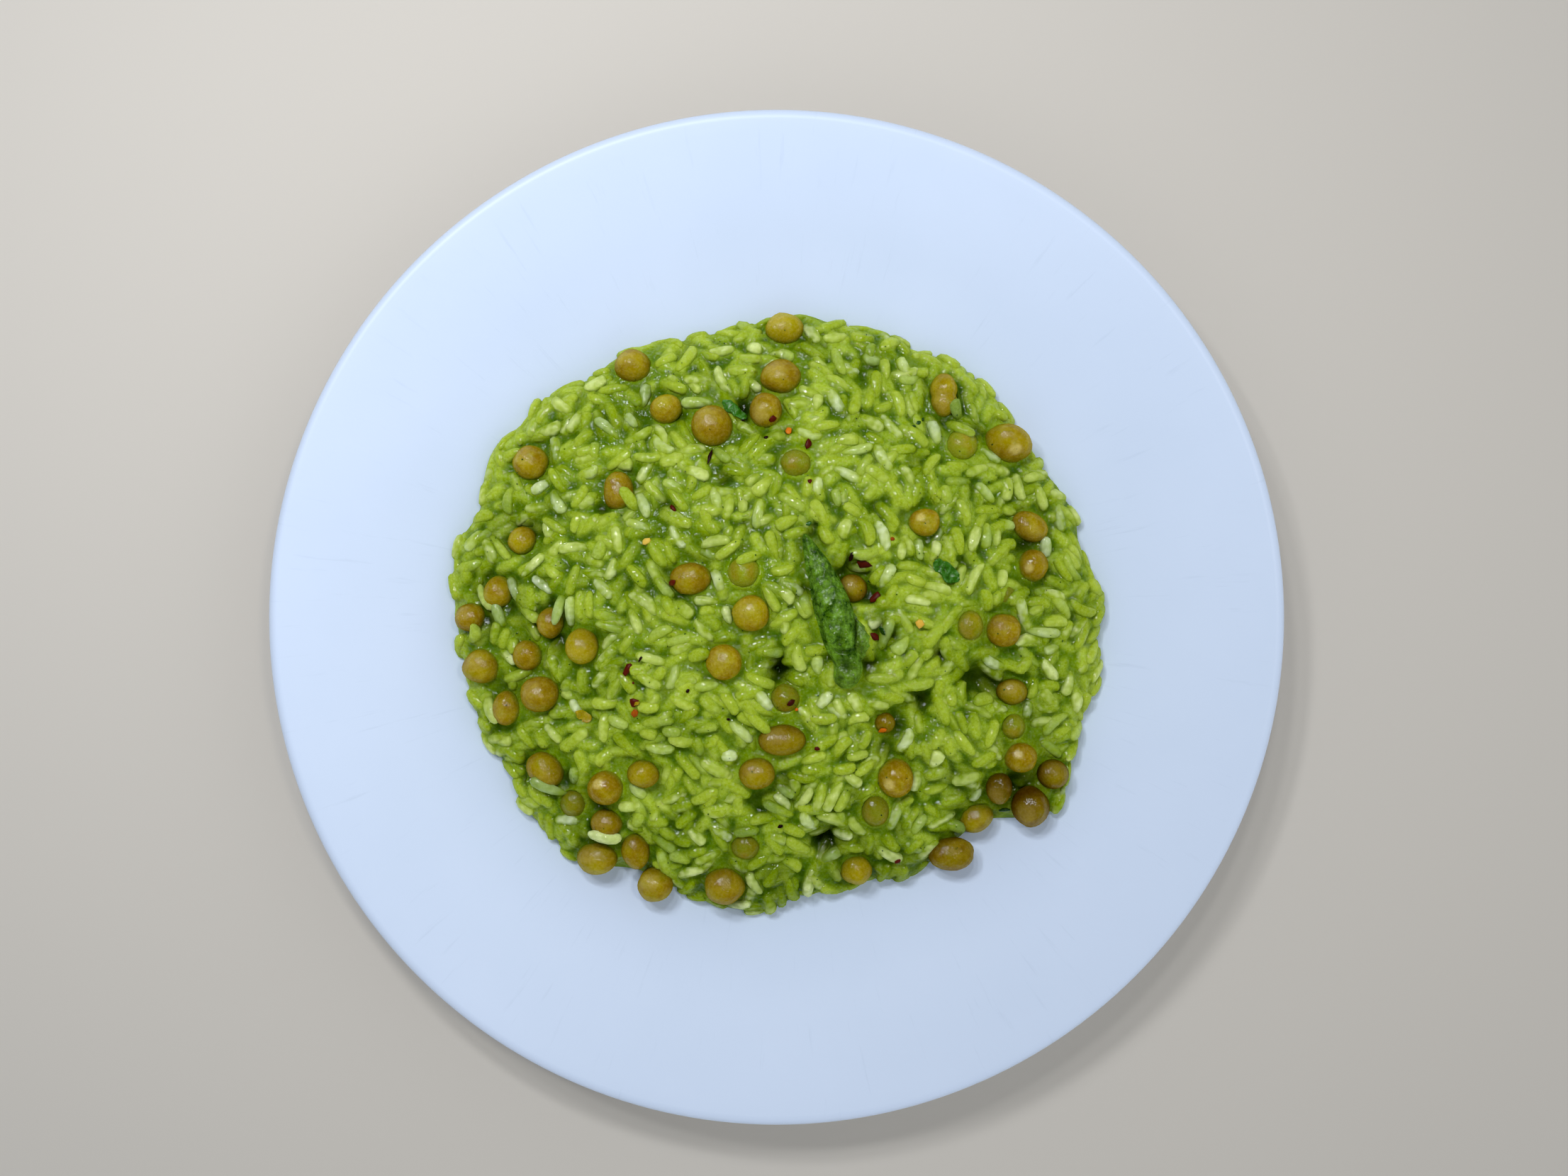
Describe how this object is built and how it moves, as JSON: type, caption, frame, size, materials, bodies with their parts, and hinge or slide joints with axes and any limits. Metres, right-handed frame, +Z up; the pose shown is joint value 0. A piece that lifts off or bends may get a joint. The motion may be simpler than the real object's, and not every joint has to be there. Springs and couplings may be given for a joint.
{
  "type": "pea risotto on a plate",
  "caption": "Green pea risotto heaped on a shallow white coupe plate, with whole peas, one asparagus tip and small chilli flakes on top.",
  "frame": {"origin": "centre of the plate's foot, on the table", "axes": "+Z up, +X to the right and +Y away from someone who looks at the plate from the side where the asparagus tip's cut end is nearest"},
  "size_m": [0.27, 0.27, 0.0306],
  "materials": {
    "white_glaze": "satin white glaze with faint grey cutlery marks",
    "rice_and_sauce": "cooked rice in glossy yellow-green pea sauce",
    "pea_skin": "olive brown cooked pea skin, moist",
    "asparagus": "dark green cooked asparagus, wet"
  },
  "bodies": {
    "root": {"plate": "white_glaze", "risotto": "rice_and_sauce", "pea_01": "pea_skin", "pea_02": "pea_skin", "pea_03": "pea_skin", "pea_04": "pea_skin", "pea_05": "pea_skin", "pea_06": "pea_skin", "pea_07": "pea_skin", "pea_08": "pea_skin", "pea_09": "pea_skin", "pea_10": "pea_skin", "pea_11": "pea_skin", "pea_12": "pea_skin", "pea_13": "pea_skin", "pea_14": "pea_skin", "pea_15": "pea_skin", "pea_16": "pea_skin", "pea_17": "pea_skin", "pea_18": "pea_skin", "pea_19": "pea_skin", "pea_20": "pea_skin", "pea_21": "pea_skin", "pea_22": "pea_skin", "pea_23": "pea_skin", "pea_24": "pea_skin", "pea_25": "pea_skin", "pea_26": "pea_skin", "pea_27": "pea_skin", "pea_28": "pea_skin", "pea_29": "pea_skin", "pea_30": "pea_skin", "pea_31": "pea_skin", "pea_32": "pea_skin", "pea_33": "pea_skin", "pea_34": "pea_skin", "pea_35": "pea_skin", "pea_36": "pea_skin", "pea_37": "pea_skin", "pea_38": "pea_skin", "pea_39": "pea_skin", "pea_40": "pea_skin", "pea_41": "pea_skin", "pea_42": "pea_skin", "pea_43": "pea_skin", "pea_44": "pea_skin", "pea_45": "pea_skin", "pea_46": "pea_skin", "pea_47": "pea_skin", "pea_48": "pea_skin", "pea_49": "pea_skin", "pea_50": "pea_skin", "pea_51": "pea_skin", "pea_52": "pea_skin", "pea_53": "pea_skin", "pea_54": "pea_skin", "pea_55": "pea_skin", "pea_56": "pea_skin", "asparagus_tip": "asparagus"}
  },
  "joints": []
}
